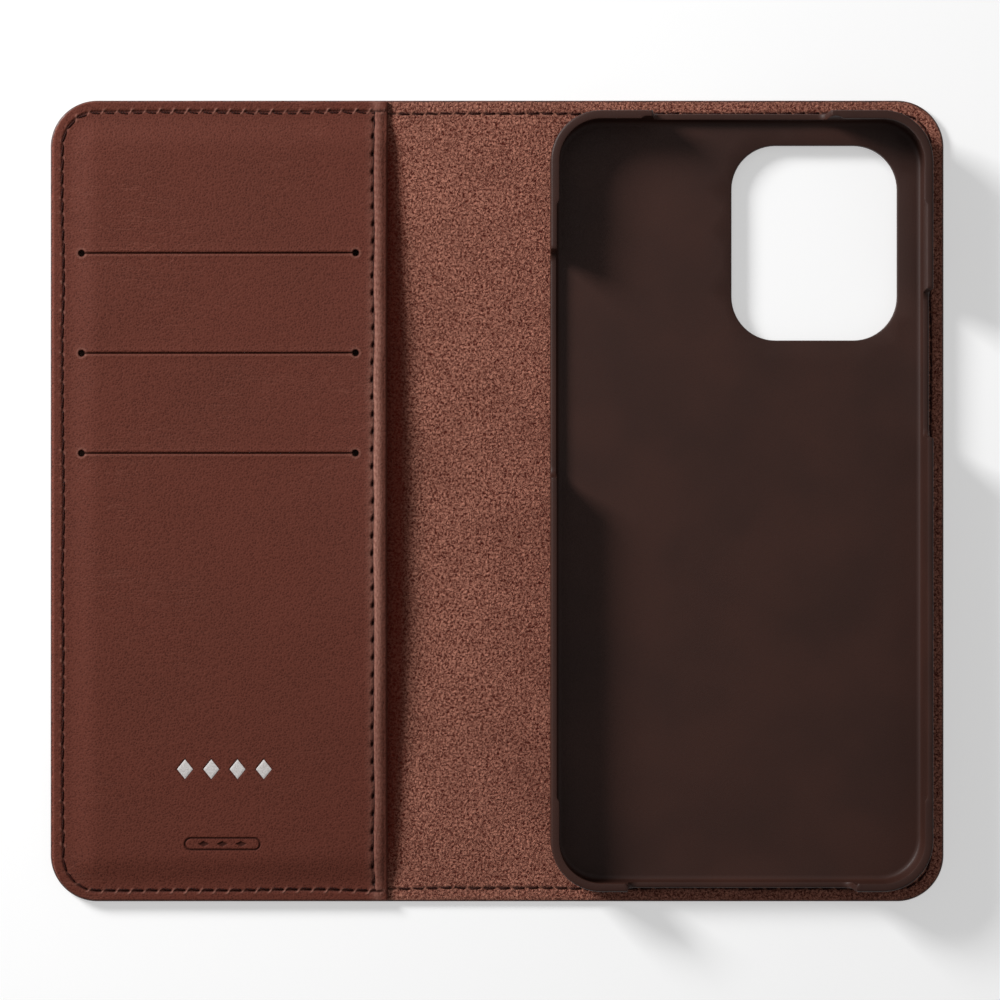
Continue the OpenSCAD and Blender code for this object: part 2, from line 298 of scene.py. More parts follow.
def panel_face(u, v):
    """Height of the panel's face."""
    s, t = edge_place(u, v)
    return panel_base(u, v) + inside_seam(s, t) + hem_relief(u, v) + slot_lips(u, v) + pressed_marks(u, v)


def panel_underside(u, v):
    """Height of the panel's back, which the turned-in hem thickens."""
    crown = smooth((edge_place(u, v)[1] - 3.5) / 6.5)
    turned = 0.35 * smooth((HEM_SEAM + 2.5 - u) / 1.5)
    return LEATHER_T + (PANEL_TOP - PANEL_LOW - turned) * crown + mouth_bow(u, v)


def suede_face(u, v):
    """Height of the outer leather's inside face."""
    s, t = edge_place(u, v)
    return LEATHER_T + inside_seam(s, t)


def grain_face(u, v):
    """Height of the outer leather's grain face, which the case lies on."""
    s, t = edge_place(u, v)
    return np.maximum(0.0, 0.1 * waves(u, v, 34, 8) * smooth(u / 12) - outside_seam(s, t))


# ---------- building meshes ----------


class Shell:
    """Collects a surface: points in mm, faces, and the number of each face's material."""

    def __init__(self):
        self.points, self.faces, self.materials, self.count = [], [], [], 0

    def add(self, xy, z):
        """Adds points and returns their indices."""
        xy = np.asarray(xy, float)
        z = np.broadcast_to(np.asarray(z, float), len(xy))
        self.points.append(np.column_stack([xy, z]))
        self.count += len(xy)
        return np.arange(self.count - len(xy), self.count)

    def face_rows(self, rows, material):
        self.faces += np.asarray(rows).tolist()
        self.materials += [material] * len(rows)

    def strip(self, a, b, material, closed=True):
        """Quads between two rows of points."""
        if closed:
            a, b = np.append(a, a[0]), np.append(b, b[0])
        self.face_rows(np.column_stack([a[:-1], a[1:], b[1:], b[:-1]]), material)

    def skin(self, rows, material, closed=True):
        """Quads between each row of points and the next."""
        for a, b in zip(rows, rows[1:]):
            self.strip(a, b, material, closed)

    def polygon(self, row, material):
        self.faces.append([int(i) for i in row])
        self.materials.append(material)

    def caps(self, rows, material):
        """Closes both ends of a skin."""
        self.polygon(rows[0], material)
        self.polygon(rows[-1], material)

    def fill(self, loops, points, height, keep, material):
        """A triangulated surface over closed loops and loose points. Returns the loops' indices."""
        xy = np.concatenate([*loops, points])
        starts = np.cumsum([0] + [len(x) for x in loops])
        edges = [(int(a + i), int(a + (i + 1) % len(x)))
                 for a, x in zip(starts, loops) for i in range(len(x))]
        out = delaunay_2d_cdt([Vector(p) for p in xy], edges, [], 0, 1e-7)
        xy, tri = np.array([tuple(p) for p in out[0]]), np.array(out[2])
        where = np.zeros(starts[-1] + len(points), int)
        for i, given in enumerate(out[3]):
            where[given] = i
        middle = xy[tri].mean(1)
        tri = tri[keep(middle[:, 0], middle[:, 1])]
        index = self.add(xy, height(xy[:, 0], xy[:, 1]))
        self.face_rows(index[tri], material)
        return [index[where[a:a + len(x)]] for a, x in zip(starts, loops)]

    def piece(self, name, materials, place=None, sharp=50):
        """Makes the Blender object. place turns the collected points into the row frame."""
        co = np.concatenate(self.points)
        if place:
            co = place(co)
        mesh = bpy.data.meshes.new(name)
        mesh.from_pydata((co * MM).tolist(), [], self.faces)
        mesh.polygons.foreach_set("material_index", self.materials)
        for m in materials:
            mesh.materials.append(m)
        bm = bmesh.new()
        bm.from_mesh(mesh)
        bmesh.ops.delete(bm, geom=[v for v in bm.verts if not v.link_faces], context="VERTS")
        bmesh.ops.recalc_face_normals(bm, faces=bm.faces)
        bm.to_mesh(mesh)
        bm.free()
        mesh.shade_smooth()
        mesh.set_sharp_from_angle(angle=math.radians(sharp))
        keep_flat_places(mesh)
        obj = bpy.data.objects.new(name, mesh)
        bpy.context.scene.collection.objects.link(obj)
        return obj


def points_of(mesh):
    co = np.zeros(len(mesh.vertices) * 3, np.float32)
    mesh.vertices.foreach_get("co", co)
    return co.reshape(-1, 3).astype(float) / MM


def keep_flat_places(mesh):
    """Keeps each point's place, in mm, so that grain stays on the leather when it moves."""
    flat = mesh.attributes.new("flat_mm", "FLOAT_VECTOR", "POINT")
    flat.data.foreach_set("vector", points_of(mesh).astype(np.float32).ravel())


def paint(obj, name, function):
    """Stores a number for each point, worked out from its place in mm."""
    value = np.asarray(function(*points_of(obj.data).T), np.float32)
    attribute = obj.data.attributes.new(name, "FLOAT", "POINT")
    attribute.data.foreach_set("value", np.ascontiguousarray(value))


def line(a, b, step):
    """Points from a to b, both included, about step apart."""
    n = max(2, int(math.ceil(abs(b - a) / step)) + 1)
    return np.linspace(a, b, n)


def grid(us, vs):
    u, v = np.meshgrid(us, vs)
    return np.column_stack([u.ravel(), v.ravel()])


def loose_grid(low, high, step, seed):
    """An unevenly spaced grid of points, so that its triangles don't line up."""
    rng = np.random.default_rng(seed)
    p = grid(np.arange(low[0], high[0], step), np.arange(low[1], high[1], step))
    return p + rng.uniform(-0.2, 0.2, p.shape) * step


def round_rect(cx, cy, w, h, r, inset=0.0, corner=14, step=2.0):
    """A closed loop round a rectangle with round corners. Its count doesn't depend on inset."""
    n_x, n_y = int(math.ceil((w - 2 * r) / step)), int(math.ceil((h - 2 * r) / step))
    x1, y1, radius = w / 2 - r, h / 2 - r, r - inset
    rows = []
    for k, (sx, sy) in enumerate(((1, 1), (-1, 1), (-1, -1), (1, -1))):
        forward, outside = (1, 1, -1, -1)[k], (1, -1, -1, 1)[k]
        a = PI / 2 * (k + np.linspace(0, 1, corner, endpoint=False))
        rows.append(np.column_stack([sx * x1 + radius * np.cos(a), sy * y1 + radius * np.sin(a)]))
        run, n, half = ((x1, n_x, h / 2), (y1, n_y, w / 2))[k % 2]
        along = forward * np.linspace(run, -run, n, endpoint=False)
        pair = (along, 0 * along + outside * (half - inset))
        rows.append(np.column_stack(pair[::-1] if k % 2 else pair))
    return np.concatenate(rows) + [cx, cy]


def in_round_rect(x, y, cx, cy, w, h, r, inset=0.0):
    dx = np.maximum(np.abs(x - cx) - (w / 2 - r), 0)
    dy = np.maximum(np.abs(y - cy) - (h / 2 - r), 0)
    return np.hypot(dx, dy) < r - inset


def rounding(d, r):
    """How far a rounded edge has dropped at distance d in from its side."""
    d = np.minimum(d, r)
    return r - np.sqrt(np.maximum(r * r - (r - d) ** 2, 0))


def on_cover(side):
    """From a cover's plane to the row frame: side is -1 for the front cover and 1 for the back."""
    def place(co):
        out = co.copy()
        out[:, 0] = side * (FOLD_X + co[:, 0])
        return out
    return place


# ---------- outer leather ----------

GRAIN, SUEDE, EDGE = 0, 1, 2  # material numbers on the outer leather
EDGE_R = 0.35  # rounding of the leather's edges
SEAM_ROWS = (1.1, 1.6, 1.95, 2.2, 2.38, 2.52, 2.64, 2.76, 2.88, 3.02, 3.2, 3.45, 3.8)
SEAM_SPACING = STEP / 16


def seam_band(first, last, rows=SEAM_ROWS, spacing=SEAM_SPACING):
    """Points in rows along the edge seam, dense enough to shape its stitches."""
    s = line(first, last, spacing)[1:-1]
    return np.concatenate([edge_point(s, t) for t in rows])


def leather_cover(name, side, opening=None):
    """One cover's leather, out to the middle of the spine strip beside it."""
    shell = Shell()
    start = -STRIP_W / 2
    s = line(start, LENGTH - start, SEAM_SPACING * 2)
    v_cut = line(-(HALF_H - EDGE_R), HALF_H - EDGE_R, 1.0)[1:-1]
    cut = np.column_stack([0 * v_cut + start, v_cut])
    loose = loose_grid((start + 0.5, -HALF_H), (COVER_W, HALF_H), 1.5, 21)
    fold = grid(np.arange(start + 0.3, 3.3, 0.3), np.arange(-HALF_H + 5, HALF_H - 5, 2.0))
    loose = loose[(edge_place(*loose.T)[1] > 4.5) & (loose[:, 0] > 3.6)]
    points = np.concatenate([seam_band(start, LENGTH - start), seam_band(start, LENGTH - start, (4.6,), 1.0),
                             loose, fold])
    loops, holes = [np.concatenate([edge_point(s, EDGE_R), cut])], []
    if opening:
        holes = [round_rect(*opening, inset=-d, step=1.0) for d in (0.3, 0.1, 0.0)]
        away = ~in_round_rect(points[:, 0], points[:, 1], *opening, inset=-0.8)
        points = points[away]
        loops.append(holes[0])

    def keep(x, y):
        inside = (x > start) & (edge_place(x, y)[1] > EDGE_R)
        if opening:
            inside &= ~in_round_rect(x, y, *opening, inset=-0.3)
        return inside

    top = shell.fill(loops, points, suede_face, keep, SUEDE)
    low = shell.fill(loops, points, grain_face, keep, GRAIN)
    n = len(s)
    rows = [low[0][:n]]
    for d, up in ((0.13, 0.13), (0.0, EDGE_R), (0.0, LEATHER_T - EDGE_R), (0.13, LEATHER_T - 0.13)):
        rows.append(shell.add(edge_point(s, d), up))
    rows.append(top[0][:n])
    shell.skin(rows, EDGE, closed=False)
    ends = [[r[k] for r in rows] for k in (0, -1)]
    low_cut, top_cut = ([loop[n - 1], *loop[n:], loop[0]] for loop in (low[0], top[0]))
    shell.strip(np.array(low_cut), np.array(top_cut), SUEDE, closed=False)
    for end in ends:
        shell.polygon(end, SUEDE)
    if opening:
        rows = [low[1], shell.add(holes[1], 0.12), shell.add(holes[2], 0.4),
                shell.add(holes[2], LEATHER_T - 0.4), shell.add(holes[1], LEATHER_T - 0.12), top[1]]
        shell.skin(rows, EDGE)
    return shell.piece(name, LEATHER_MATERIALS, on_cover(side))


def spine_half(name, side):
    """The leather from the middle of the spine to the middle of a strip beside it."""
    shell = Shell()
    xs = line(0, STRIP_W, 0.2)
    seam_v = [HALF_H - t for t in SEAM_ROWS]
    v = np.array(sorted([-a for a in seam_v] + seam_v + line(-HALF_H + 4.6, HALF_H - 4.6, 2.0).tolist()
                        + [-HALF_H + EDGE_R, HALF_H - EDGE_R]))
    end = np.array([[0.13, 0.13], [0.0, EDGE_R], [0.0, LEATHER_T - EDGE_R], [0.13, LEATHER_T - 0.13]])
    rows = []
    for x in xs:
        u = 0 * v + x - FOLD_X
        low, top = grain_face(u, v), suede_face(u, v)
        vv = np.concatenate([v, HALF_H - end[:, 0], v[::-1], -HALF_H + end[::-1, 0]])
        zz = np.concatenate([low, end[:, 1], top[::-1], end[::-1, 1]])
        rows.append(shell.add(np.column_stack([0 * vv + side * x, vv]), zz))
    n, m = len(v), len(end)
    kinds = [GRAIN] * (n - 1) + [EDGE] * (m + 1) + [SUEDE] * (n - 1) + [EDGE] * (m + 1)
    for a, b in zip(rows, rows[1:]):
        before = len(shell.materials)
        shell.strip(a, b, GRAIN)
        shell.materials[before:] = kinds
    for row in (rows[0], rows[-1]):
        low, top = row[:n], row[n + m:n + m + n][::-1]
        shell.strip(low, top, SUEDE, closed=False)
        shell.polygon([low[-1], *row[n:n + m], top[-1]], SUEDE)
        shell.polygon([top[0], *row[2 * n + m:], low[0]], SUEDE)
    return shell.piece(name, LEATHER_MATERIALS)


# ---------- card panel ----------


def slot_loop(y, d):
    """A closed loop round a slot and its stop holes, d out from the cut."""
    r, half = STOP_R + d, 0.05 + d
    a = math.asin(half / r)
    turn = np.linspace(PI - a, -(PI - a), 30)
    right = np.column_stack([SLOT_X + SLOT_HALF + r * np.cos(turn), y + r * np.sin(turn)])
    x = np.linspace(right[-1, 0], 2 * SLOT_X - right[-1, 0], 120)[1:-1]
    open_by = 0.05 * smooth((SLOT_HALF - 0.6 - np.abs(x - SLOT_X)) / 1.4)
    lower = np.column_stack([x, y - half - open_by])
    left = np.column_stack([2 * SLOT_X - right[::-1, 0], right[::-1, 1]])
    upper = np.column_stack([x[::-1], y + half + open_by])
    return np.concatenate([right, lower, left, upper])


PANEL_SIDES = 700  # how many of the outline's points lie on the sewn sides
PANEL_HEM = 329  # and how many on the hem between them


def panel_outline(d):
    """The panel's closed outline, d in from its edge: the three sewn sides, then the hem."""
    s = np.linspace(HEM_X + d, LENGTH - HEM_X - d, PANEL_SIDES)
    sides = edge_point(s, PANEL_EDGE + d)
    v = np.linspace(sides[-1, 1], sides[0, 1], PANEL_HEM + 2)[1:-1]
    return np.concatenate([sides, np.column_stack([0 * v + HEM_X + d, v])])


def panel_rounding(d):
    """How far the panel's edge has dropped at d in: a cut edge on the sides, a fold on the hem."""
    drop = np.full(PANEL_SIDES + PANEL_HEM, rounding(d, 0.65) / 0.65)
    drop[:PANEL_SIDES] = rounding(d, 0.3)
    return drop


def reach(y):
    """How much nearer the panel comes to the case's top and bottom than to its free edge."""
    return 0.37 * np.sign(y) * smooth((np.abs(y) - 60) / 22)


def stretch_panel(co):
    out = co.copy()
    out[:, 1] += reach(out[:, 1])
    return on_cover(-1)(out)


def panel_points():
    """Loose points of the panel's face: rows along the seams, and grids round the marks."""
    first, last = HEM_X + 1.0, LENGTH - HEM_X - 1.0
    band = seam_band(first, last, tuple(t for t in SEAM_ROWS if t > 1.5))
    outer = [edge_point(line(first, last, 0.8), t) for t in (4.3, 5.0, 5.8, 6.8, 7.8, 8.8, 9.8)]
    outer = np.concatenate(outer)
    hem_u = (14.35, 14.6, 14.9, 15.2, 15.5, 15.75, 15.95, 16.1, 16.22, 16.34, 16.46, 16.58, 16.75, 17.0, 17.4)
    hem = grid(hem_u, np.arange(-HALF_H + 3.9, HALF_H - 3.9, 0.22))
    loose = loose_grid((HEM_X + 1, -HALF_H), (COVER_W, HALF_H), 1.25, 31)
    mark = grid(np.arange(MARK_X - 8.6, MARK_X + 8.6, 0.12), np.arange(MARK_Y - 2, MARK_Y + 2, 0.12))
    foil = grid(np.arange(FOIL_X - 10.4, FOIL_X + 10.4, 0.2), np.arange(FOIL_Y - 2.8, FOIL_Y + 2.8, 0.2))
    lips = np.concatenate([slot_loop(y, d) for y in SLOT_Y for d in (0.24, 0.42, 0.62, 0.9, 1.3)])
    free = (loose[:, 0] > 17.8) & (edge_place(*loose.T)[1] > 10.2)
    free &= (np.abs(loose[:, 0] - MARK_X) > 9) | (np.abs(loose[:, 1] - MARK_Y) > 2.4)
    free &= (np.abs(loose[:, 0] - FOIL_X) > 10.8) | (np.abs(loose[:, 1] - FOIL_Y) > 3.2)
    for y in SLOT_Y:
        free &= slot_distance(*loose.T, y)[0] > 1.8
    clear = outer[outer[:, 0] > 17.8]
    hem = hem[edge_place(*hem.T)[1] > 3.9]
    return np.concatenate([band, clear, hem, loose[free], mark, foil, lips])


def card_panel():
    """The panel: three slots with stop holes, a turned hem, and pressed marks."""
    shell = Shell()
    rings = (0.0, 0.06, 0.16, 0.3, 0.46, 0.65)

    def keep(x, y):
        inside = (x > HEM_X + rings[-1]) & (edge_place(x, y)[1] > PANEL_EDGE + rings[-1])
        for slot_y in SLOT_Y:
            line_off, stop_off = slot_distance(x, y, slot_y)
            half = 0.05 + 0.1 + 0.05 * smooth((SLOT_HALF - 0.6 - np.abs(x - SLOT_X)) / 1.4)
            inside &= (line_off > half) & (stop_off > STOP_R + 0.1)
        return inside

    outline = panel_outline(rings[-1])
    cuts = [slot_loop(y, 0.1) for y in SLOT_Y]
    top = shell.fill([outline, *cuts], panel_points(), panel_face, keep, 0)
    under = loose_grid((HEM_X + 1, -HALF_H), (COVER_W, HALF_H), 2.0, 41)
    under = under[edge_place(*under.T)[1] > 2]
    for y in SLOT_Y:
        under = under[slot_distance(*under.T, y)[0] > 1.2]
    low = shell.fill([outline, *cuts], under, panel_underside, keep, 0)
    face, back = panel_face(*outline.T), panel_underside(*outline.T)
    half = np.where(np.arange(len(face)) < PANEL_SIDES, 1, (face - back) / 2)
    rows = [low[0]]
    for d in rings[-2::-1]:
        rows.append(shell.add(panel_outline(d), back + half * panel_rounding(d)))
    for d in rings[:-1]:
        rows.append(shell.add(panel_outline(d), face - half * panel_rounding(d)))
    rows.append(top[0])
    shell.skin(rows, 0)
    for y, upper, lower in zip(SLOT_Y, top[1:], low[1:]):
        wall = slot_loop(y, 0.0)
        ring = shell.add(wall, panel_face(*slot_loop(y, 0.1).T) - 0.1)
        base = shell.add(wall, panel_underside(*wall.T) + 0.05)
        shell.skin((upper, ring, base, lower), 0)
    return shell.piece("card_panel_leather", [panel_material()], stretch_panel)


def pocket(name, layer):
    """A pocket's cloth, in the space between the panel and the outer leather."""
    shell = Shell()
    top_y = SLOT_Y[layer] + 1
    us = line(*POCKET_U, 1.2)
    vs = line(top_y, top_y - POCKET_DEPTH, 1.2)
    level = (layer + 0.6) / 3
    rows, backs = [], []
    for v in vs:
        row = np.column_stack([us, 0 * us + v])
        room = panel_underside(*row.T) - LEATHER_T
        sag = 0.06 * waves(*row.T, 18, 50 + layer)
        z = LEATHER_T + 0.02 + (level + sag) * (room - 0.1) * 0.9
        rows.append(shell.add(row, z))
        backs.append(shell.add(row, z - 0.12 * np.clip(z - LEATHER_T, 0, 1)))
    for part in (rows, backs):
        shell.skin(part, 0, closed=False)
    for a, b in ((rows[0], backs[0]), (rows[-1], backs[-1])):
        shell.strip(a, b, 0, closed=False)
    for k in (0, -1):
        shell.strip(np.array([r[k] for r in rows]), np.array([r[k] for r in backs]), 0, closed=False)
    return shell.piece(name, [cloth_material()], stretch_panel)


def foil_ornament():
    """Foil pressed into the panel: four thin lozenges with soft edges."""
    shell = Shell()
    for u0 in foil_places():
        rings = []
        for inset, up in ((0.0, -0.06), (0.02, 0.01), (0.08, 0.035), (0.6, 0.04)):
            w, h = LOZENGE[0] / 2 - inset * 1.2, LOZENGE[1] / 2 - inset * 1.5
            corners = np.array([[w, 0], [0, h], [-w, 0], [0, -h], [w, 0]])
            k = np.linspace(0, 4, 33)[:-1]
            i = k.astype(int)
            xy = corners[i] + (corners[i + 1] - corners[i]) * (k - i)[:, None] + [u0, FOIL_Y]
            rings.append(shell.add(xy, panel_base(*xy.T) - 0.12 + up))
        shell.skin(rings, 0)
        shell.caps(rings[::-1], 0)
    return shell.piece("foil_lozenges", [foil_material()], stretch_panel)


# ---------- thread ----------

RING = 8


def thread(shell, middle, heading, length, level, side,
           width=0.17, high=0.13, rise=0.05, sink=0.45, lean=0.1, bow=0.0):
    """One visible stitch: a flat strand that comes up out of one hole and goes down the next.
    level is the height of the face that it lies on, and side is 1 for a face that looks up."""
    x = np.linspace(-0.5, 0.5, 11)
    a = heading + lean * side
    path = middle + np.outer(x * length, [math.cos(a), math.sin(a)])
    across = np.array([-math.sin(a), math.cos(a)])
    path = path + np.outer(bow * (1 - 4 * x ** 2), across)
    lift = rise + high - (sink + rise) * np.abs(2 * x) ** 5
    z = level + side * lift
    taper = 1 - 0.25 * np.abs(2 * x) ** 4
    turn = 2 * PI * np.arange(RING) / RING
    rows = []
    for p, height, size in zip(path, z, taper):
        xy = p + np.outer(np.cos(turn) * width * size, across)
        rows.append(shell.add(xy, height + np.sin(turn) * high * size))
    number = 0 if side > 0 else 1
    shell.skin(rows, number)
    shell.caps(rows, number)


def cover_thread(name, side, inner_level):
    """The edge seam of a cover, inside and out. inner_level(u) is the height of the inside face."""
    shell = Shell()
    rng = np.random.default_rng(61)
    for place in (-SPINE_STEP / 2, *((k + 0.5) * STEP for k in range(STITCHES)), LENGTH + SPINE_STEP / 2):
        s = np.array(place, float)
        p, a = edge_point(s, SEAM + seam_wander(s)), float(edge_heading(s))
        wobble = rng.uniform(-0.08, 0.08, 3)
        level = inner_level(p[0])
        if level is not None:
            length = STEP * (1.03 - 0.17 * float(gap_width(s)))
            thread(shell, p, a + wobble[1], length, level - 0.16, 1, bow=0.5 * wobble[0])
        p = edge_point(s, SEAM)
        thread(shell, p, a + wobble[1], STEP * 0.8, 0.3, -1,
               width=0.18, high=0.15, rise=-0.02, sink=0.5, lean=-THREAD_TURN)
    return shell.piece(name, THREAD_MATERIALS, on_cover(side))


def spine_thread(name, side):
    """The edge seam where it crosses half of the spine."""
    shell = Shell()
    for x in (SPINE_STEP / 2, 1.5 * SPINE_STEP):
        for end in (-1, 1):
            p = np.array([side * x, end * (HALF_H - SEAM)])
            thread(shell, p, 0.0, SPINE_STEP * 0.86, LEATHER_T - 0.16, 1)
            thread(shell, p, 0.0, SPINE_STEP * 0.8, 0.3, -1,
                   width=0.17, high=0.15, rise=-0.02, sink=0.5, lean=-side * THREAD_TURN)
    return shell.piece(name, THREAD_MATERIALS)


def hem_thread():
    """The hem's seam: a thin line of thread between slanted holes."""
    shell = Shell()
    runs = [(-HEM_END + (k + 0.5) * HEM_STEP, HEM_STEP * 0.97) for k in range(HEM_STITCHES)]
    runs += [(end * (HEM_END + HALF_H - SEAM) / 2, 1.7) for end in (-1, 1)]
    for v, length in runs:
        level = float(panel_face(np.array([HEM_SEAM + 1.2]), np.array([v]))[0])
        w = float(hem_place(np.array([HEM_SEAM]), np.array([v]))[0][0])
        thread(shell, np.array([HEM_SEAM + w, v]), PI / 2, length, level - 0.2, 1,
               width=0.14, high=0.12, rise=0.02, sink=0.4, lean=0.05, bow=0.16)
    return shell.piece("hem_thread", THREAD_MATERIALS, stretch_panel)


# ---------- phone tray ----------


def tray_loop(inset, step=0.7):
    return round_rect(TRAY_X, 0, *TRAY_SIZE, TRAY_R, inset, corner=18, step=step)


def notch_cut(p):
    """How far down the wall's rim is cut at points of the tray's outline, in mm."""
    depth, r, rim_r = TRAY_H - TRAY_FLOOR - 2.0, 2.0, 0.5
    cut = np.zeros(len(p))
    place = (p[:, 0] - TRAY_X, p[:, 1])
    for axis, side, middle, length in NOTCHES:
        on_wall = side * place[axis] > TRAY_SIZE[axis] / 2 - 0.01
        inside = length / 2 - np.abs(place[1 - axis] - middle)
        low = depth - rounding(inside, r)
        high = rim_r - np.sqrt(np.maximum(rim_r ** 2 - np.clip(inside + rim_r, 0, rim_r) ** 2, 0))
        cut = np.where(on_wall, np.where(inside > 0, low, high), cut)
    return cut


def lip_reach(p):
    """How far the rim reaches over the phone: 0.5 mm near the corners."""
    x, y = np.abs(p[:, 0] - TRAY_X), np.abs(p[:, 1])
    along = np.minimum(TRAY_SIZE[0] / 2 - x, 99) + np.minimum(TRAY_SIZE[1] / 2 - y, 99)
    return 0.5 * smooth((19.3 - along) / 1.2)


def phone_tray():
    """The snap-in tray: rounded walls with four lips, notches for the buttons and the plug."""
    shell = Shell()
    outline = tray_loop(0.0, 0.35)
    cut, lip = notch_cut(outline), lip_reach(outline)
    lip = lip * (cut < 0.01)
    rim = TRAY_Z + TRAY_H - cut

    def ring(inset, z):
        """Points inset from the outline; inset may differ from point to point."""
        base, inner = tray_loop(0.0, 0.35), tray_loop(1.0, 0.35)
        return shell.add(base + (inner - base) * np.broadcast_to(inset, len(base))[:, None], z)

    low = tray_loop(0.9, 0.35)
    wall = TRAY_WALL
    floor_z = TRAY_Z + TRAY_FLOOR
    rows = [shell.add(low, TRAY_Z), ring(0.35, TRAY_Z + 0.12), ring(0.1, TRAY_Z + 0.38),
            ring(0.0, TRAY_Z + 0.9), ring(0.0, rim - 0.5), ring(0.06, rim - 0.22),
            ring(0.22, rim - 0.05), ring(0.45, rim),
            ring(wall - 0.35 + lip, rim), ring(wall - 0.12 + lip, rim - 0.06), ring(wall + lip, rim - 0.25),
            ring(wall + lip, rim - 0.5), ring(wall, rim - 0.95), ring(wall, floor_z + 1.0),
            ring(wall + 0.2, floor_z + 0.35), ring(wall + 0.6, floor_z + 0.05)]
    floor = tray_loop(wall + 1.2, 0.35)
    hole = [round_rect(*CAMERA, inset=-d, step=1.0) for d in (0.45, 0.12, 0.0)]
    points = loose_grid((TRAY_X - 39, -80), (TRAY_X + 39, 80), 4.0, 71)
    points = points[in_round_rect(*points.T, TRAY_X, 0, *TRAY_SIZE, TRAY_R, wall + 2.5)
                    & ~in_round_rect(*points.T, *CAMERA, inset=-2)]

    def sheet(loop, inset, z):
        """A flat sheet at height z with the camera's hole in it."""
        def keep(x, y):
            in_tray = in_round_rect(x, y, TRAY_X, 0, *TRAY_SIZE, TRAY_R, inset)
            return in_tray & ~in_round_rect(x, y, *CAMERA, inset=-0.45)
        return shell.fill([loop, hole[0]], points, lambda x, y: 0 * x + z, keep, 0)

    above = sheet(floor, wall + 1.2, floor_z)
    below = sheet(low, 0.9, TRAY_Z)
    rows[0] = below[0]
    rows.append(above[0])
    shell.skin(rows, 0)
    around = [below[1], shell.add(hole[1], TRAY_Z + 0.08), shell.add(hole[2], TRAY_Z + 0.3),
              shell.add(hole[2], floor_z - 0.45), shell.add(hole[1], floor_z - 0.12), above[1]]
    shell.skin(around, 0)
    return shell.piece("phone_tray_shell", [tray_material()], sharp=40)


def mounting_pad():
    """The L-shaped pad between the tray and the leather."""
    shell = Shell()
    w, h, r = *PAD_SIZE, 9.0
    notch_x, notch_y = PAD_NOTCH
    base = round_rect(TRAY_X, 0, w, h, r, 0.0, corner=12, step=2.0)
    inside = (base[:, 0] < notch_x) | (base[:, 1] < notch_y)
    first = int(np.where(inside & ~np.roll(inside, 1))[0][0])
    base = np.roll(base, -first, axis=0)[: int(inside.sum())]
    corner = [[TRAY_X + w / 2, notch_y], [notch_x, notch_y], [notch_x, h / 2]]
    loop = np.concatenate([base, np.array(corner)])
    middle = loop.mean(0)
    rows = []
    for shrink, z in ((0.0, 0.0), (0.0, 0.35), (0.004, 0.5)):
        rows.append(shell.add(loop + (middle - loop) * shrink, LEATHER_T + z))
    shell.skin(rows, 0)
    shell.caps(rows, 0)
    return shell.piece("tray_pad", [pad_material()])


# ---------- materials ----------


def srgb(r, g, b):
    """A colour given in the usual 0 to 255, as linear numbers."""
    def one(c):
        c /= 255
        return c / 12.92 if c <= 0.04045 else ((c + 0.055) / 1.055) ** 2.4
    return (one(r), one(g), one(b), 1.0)


